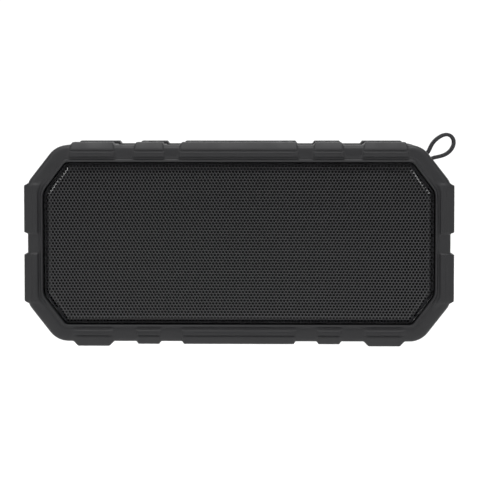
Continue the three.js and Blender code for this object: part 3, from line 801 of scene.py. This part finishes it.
# ---- passive radiator ------------------------------------------------------------------------------
PLATE = [
    (0.01, 21.4), (11.9, 21.4), (12.4, 21.9), (12.4, 22.7), (12.25, 23.1), (11.9, 23.4), (11.5, 23.5),
    (4.7, 23.5), (4.45, 23.42), (4.2, 23.2), (4.0, 23.1), (0.01, 23.1),
]
plate = piece("radiator_disc", *turned(PLATE, 0, 0, 72), plated_steel, 30)
placed(plate, "radiator_plate", "radiator_plate", slot="steel")


def roll(r):
    """Height of the half roll at a radius."""
    t = (r - 15.4) / 2.7
    return 22.0 + 2.2 * math.sqrt(max(0.0, 1 - t * t))


radii = [15.4 - 2.7 * math.cos(math.pi * k / 12) for k in range(13)]
ROLL_FLANGE = [(18.5, 21.8), (18.5, 18.9), (21.4, 18.9), (21.4, 18.3), (18.1, 18.3)]
ROLL = [(r, roll(r) + 0.55) for r in radii] + ROLL_FLANGE
ROLL += [(r, roll(r)) for r in radii[::-1]]
SECTORS = 12
for k in range(SECTORS):
    start = 2 * math.pi * k / SECTORS
    name = f"radiator_roll_{k + 1}"
    wedge = piece(name, *turned(ROLL, 0, 0, 6, "y", start, 2 * math.pi / SECTORS), seal_rubber, 40)
    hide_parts("radiator_surround")
    way = start + math.pi / SECTORS
    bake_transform(wedge)

# ---- case screws -------------------------------------------------------------------------------------
SCREW_SIZES = {
    "Head Radius": 2.6 * MM, "Head Height": 2.0 * MM, "Shank Radius": 1.3 * MM,
    "Shank Length": 22.6 * MM, "Slot Width": 0.6 * MM, "Slot Length": 3.0 * MM,
}


def screw_tree(sizes):
    """A cross-head screw on each point, its head towards +Y."""
    tree, given = node_group("case screws", sizes)

    def scaled(name, share):
        return sums(tree, "MULTIPLY", given[name], share)

    def moved(geometry, height):
        place = add(tree, "ShaderNodeCombineXYZ", inputs={2: height}).outputs[0]
        inputs = {"Geometry": geometry, "Translation": place}
        return add(tree, "GeometryNodeTransform", inputs=inputs).outputs[0]

    head_inputs = {
        "Vertices": 28, "Radius Top": scaled("Head Radius", 0.78),
        "Radius Bottom": given["Head Radius"], "Depth": scaled("Head Height", 0.35),
    }
    crown = add(tree, "GeometryNodeMeshCone", inputs=head_inputs).outputs[0]
    crown = moved(crown, scaled("Head Height", -0.35))
    under_inputs = {"Vertices": 28, "Radius": given["Head Radius"], "Depth": scaled("Head Height", 0.65)}
    under = add(tree, "GeometryNodeMeshCylinder", inputs=under_inputs).outputs[0]
    under = moved(under, scaled("Head Height", -0.675))
    shank_inputs = {"Vertices": 20, "Radius": given["Shank Radius"], "Depth": given["Shank Length"]}
    shank = add(tree, "GeometryNodeMeshCylinder", inputs=shank_inputs).outputs[0]
    drop = sums(tree, "MULTIPLY_ADD", given["Shank Length"], -0.5, scaled("Head Height", -0.95))
    shank = moved(shank, drop)
    blades = []
    for first, second in (("Slot Width", "Slot Length"), ("Slot Length", "Slot Width")):
        inputs = {0: given[first], 1: given[second], 2: given["Head Height"]}
        size = add(tree, "ShaderNodeCombineXYZ", inputs=inputs)
        blades.append(add(tree, "GeometryNodeMeshCube", inputs={"Size": size.outputs[0]}).outputs[0])
    union = add(tree, "GeometryNodeMeshBoolean", {"operation": "UNION"})
    for body in (crown, under, shank):
        tree.links.new(body, union.inputs["Mesh 2"])
    carved = add(tree, "GeometryNodeMeshBoolean", {"operation": "DIFFERENCE"}, {"Mesh 1": union.outputs[0]})
    for blade in blades:
        tree.links.new(blade, carved.inputs["Mesh 2"])
    turn = {"Points": given["Geometry"], "Instance": carved.outputs[0], "Rotation": (-math.pi / 2, 0, 0)}
    ending(tree, add(tree, "GeometryNodeInstanceOnPoints", inputs=turn).outputs[0], turned_steel)
    return tree


screw_heads = bpy.data.meshes.new("screw_places")
screw_heads.from_pydata([(a * MM, 0.0246, (MID_Z + b) * MM) for a, b in SCREW_PLACES], [], [])
screw_base = bpy.data.objects.new("case_screws", screw_heads)
bpy.context.scene.collection.objects.link(screw_base)
screw_base.data = grown(screw_base, screw_tree(SCREW_SIZES), SCREW_SIZES)
placed(screw_base, "case", *(f"case_screw_{k + 1}" for k in range(len(SCREW_PLACES))), slot="steel")

# ---- hanging strap --------------------------------------------------------------------------------
lean = math.radians(STRAP["lean"])
across, up = math.cos(lean), math.sin(lean)
pin_x, pin_z = STRAP["pin_x"], MID_Z + STRAP["pin_z"]
knots = np.array([(pin_x + a * across - b * up, pin_z + a * up + b * across) for a, b in STRAP_ROUTE])


def smooth_line(knots, each=6):
    """A centripetal Catmull-Rom line through the knots."""
    ends = [2 * knots[0] - knots[1], *knots, 2 * knots[-1] - knots[-2]]
    line = []
    for p0, p1, p2, p3 in zip(ends, ends[1:], ends[2:], ends[3:]):
        t0, t1 = 0.0, math.sqrt(np.linalg.norm(p1 - p0))
        t2 = t1 + math.sqrt(np.linalg.norm(p2 - p1))
        t3 = t2 + math.sqrt(np.linalg.norm(p3 - p2))
        for k in range(each):
            t = t1 + (t2 - t1) * k / each
            a1 = (t1 - t) / (t1 - t0) * p0 + (t - t0) / (t1 - t0) * p1
            a2 = (t2 - t) / (t2 - t1) * p1 + (t - t1) / (t2 - t1) * p2
            a3 = (t3 - t) / (t3 - t2) * p2 + (t - t2) / (t3 - t2) * p3
            b1 = (t2 - t) / (t2 - t0) * a1 + (t - t0) / (t2 - t0) * a2
            b2 = (t3 - t) / (t3 - t1) * a2 + (t - t1) / (t3 - t1) * a3
            line.append((t2 - t) / (t2 - t1) * b1 + (t - t1) / (t2 - t1) * b2)
    return np.array([*line, knots[-1]])


strap_line = smooth_line(knots)
along = np.concatenate([[0], np.cumsum(np.linalg.norm(np.diff(strap_line, axis=0), axis=1))])
way = np.gradient(strap_line, axis=0)
way /= np.linalg.norm(way, axis=1)[:, None]
half_w, half_t = STRAP["width"] / 2, STRAP["thick"] / 2
CORNER = 0.5
section = []
for sx, sy, a0 in ((1, 1, 0), (-1, 1, 90), (-1, -1, 180), (1, -1, 270)):
    for a in (0, 30, 60, 90):
        angle = math.radians(a0 + a)
        y = sx * (half_w - CORNER) + CORNER * math.cos(angle)
        t = sy * (half_t - CORNER) + CORNER * math.sin(angle)
        section.append((y, t))
strap_rings = [
    [(p[0] - w[1] * t, y, p[1] + w[0] * t) for y, t in section] for p, w in zip(strap_line, way)
]
strap = piece("strap", *swept(strap_rings, True, False), strap_weave, 60)
uv = strap.data.uv_layers.new(name="UVMap")
rim_place = np.concatenate([[0], np.cumsum(np.linalg.norm(np.diff(np.array(section), axis=0), axis=1))])
per_ring = len(section)
for loop in strap.data.loops:
    ring, spot = divmod(loop.vertex_index, per_ring)
    uv.data[loop.index].uv = (along[min(ring, len(along) - 1)] * MM, rim_place[spot] * MM)
placed(strap, "hanging_strap", "hanging_strap", slot="strap_weave")

# ---- floor and light ------------------------------------------------------------------------------
floor_material, floor_tree, floor_shader = surface("pale studio floor", 0.9)
floor_shade = noise(floor_tree, coordinates(floor_tree), 300, 1.0)
floor_colour = mixed(floor_tree, floor_shade, linear("f4f4f4"), linear("f8f8f8"))
feed(floor_tree, floor_shader, "Base Color", floor_colour)
REACH = 6000
FLOOR_DROP = 0.12  # the speaker hangs clear of the floor, so no shadow touches it
corners = [(-REACH, -REACH, 0), (REACH, -REACH, 0), (REACH, REACH, 0), (-REACH, REACH, 0)]
floor = piece("studio_floor", corners, [(0, 1, 2, 3)], floor_material)
floor.location.z = -FLOOR_DROP

world = bpy.data.worlds.new("studio")
bpy.context.scene.world = world
world.use_nodes = True
sky = world.node_tree
sky.nodes.clear()
direction = add(sky, "ShaderNodeTexCoord").outputs["Generated"]
parts = add(sky, "ShaderNodeSeparateXYZ", inputs={0: direction}).outputs
backdrop = spread(sky, parts[1], 0.0, 1.1, 0.25, 0.7)
overhead = spread(sky, parts[2], 0.1, 0.5, 0.3, 0.95)
strength = sums(sky, "MAXIMUM", backdrop, overhead)
light = add(sky, "ShaderNodeBackground", inputs={"Color": (1, 1, 1, 1), "Strength": strength})
add(sky, "ShaderNodeOutputWorld", inputs={0: light.outputs[0]})


def softbox(name, place, aim, size, power):
    data = bpy.data.lights.new(name, "AREA")
    data.shape = "RECTANGLE"
    data.size, data.size_y = size
    data.energy = power
    lamp = bpy.data.objects.new(name, data)
    lamp.location = place
    lamp.rotation_mode = "QUATERNION"
    lamp.rotation_quaternion = (Vector(aim) - Vector(place)).to_track_quat("-Z", "Y")
    bpy.context.scene.collection.objects.link(lamp)


softbox("left_softbox", (-0.75, -0.85, 0.62), (0, 0, 0.05), (0.12, 0.16), 3.2)
softbox("right_softbox", (0.8, -0.85, 0.5), (0, 0, 0.05), (0.12, 0.16), 2.0)
sun_data = bpy.data.lights.new("ceiling", "SUN")
sun_data.energy = 2.4
sun_data.angle = math.radians(50)
sun = bpy.data.objects.new("ceiling", sun_data)
sun.rotation_mode = "QUATERNION"
sun.rotation_quaternion = Vector((0, 0.25, -1)).to_track_quat("-Z", "Y")
bpy.context.scene.collection.objects.link(sun)
bpy.context.scene.view_settings.view_transform = "Standard"
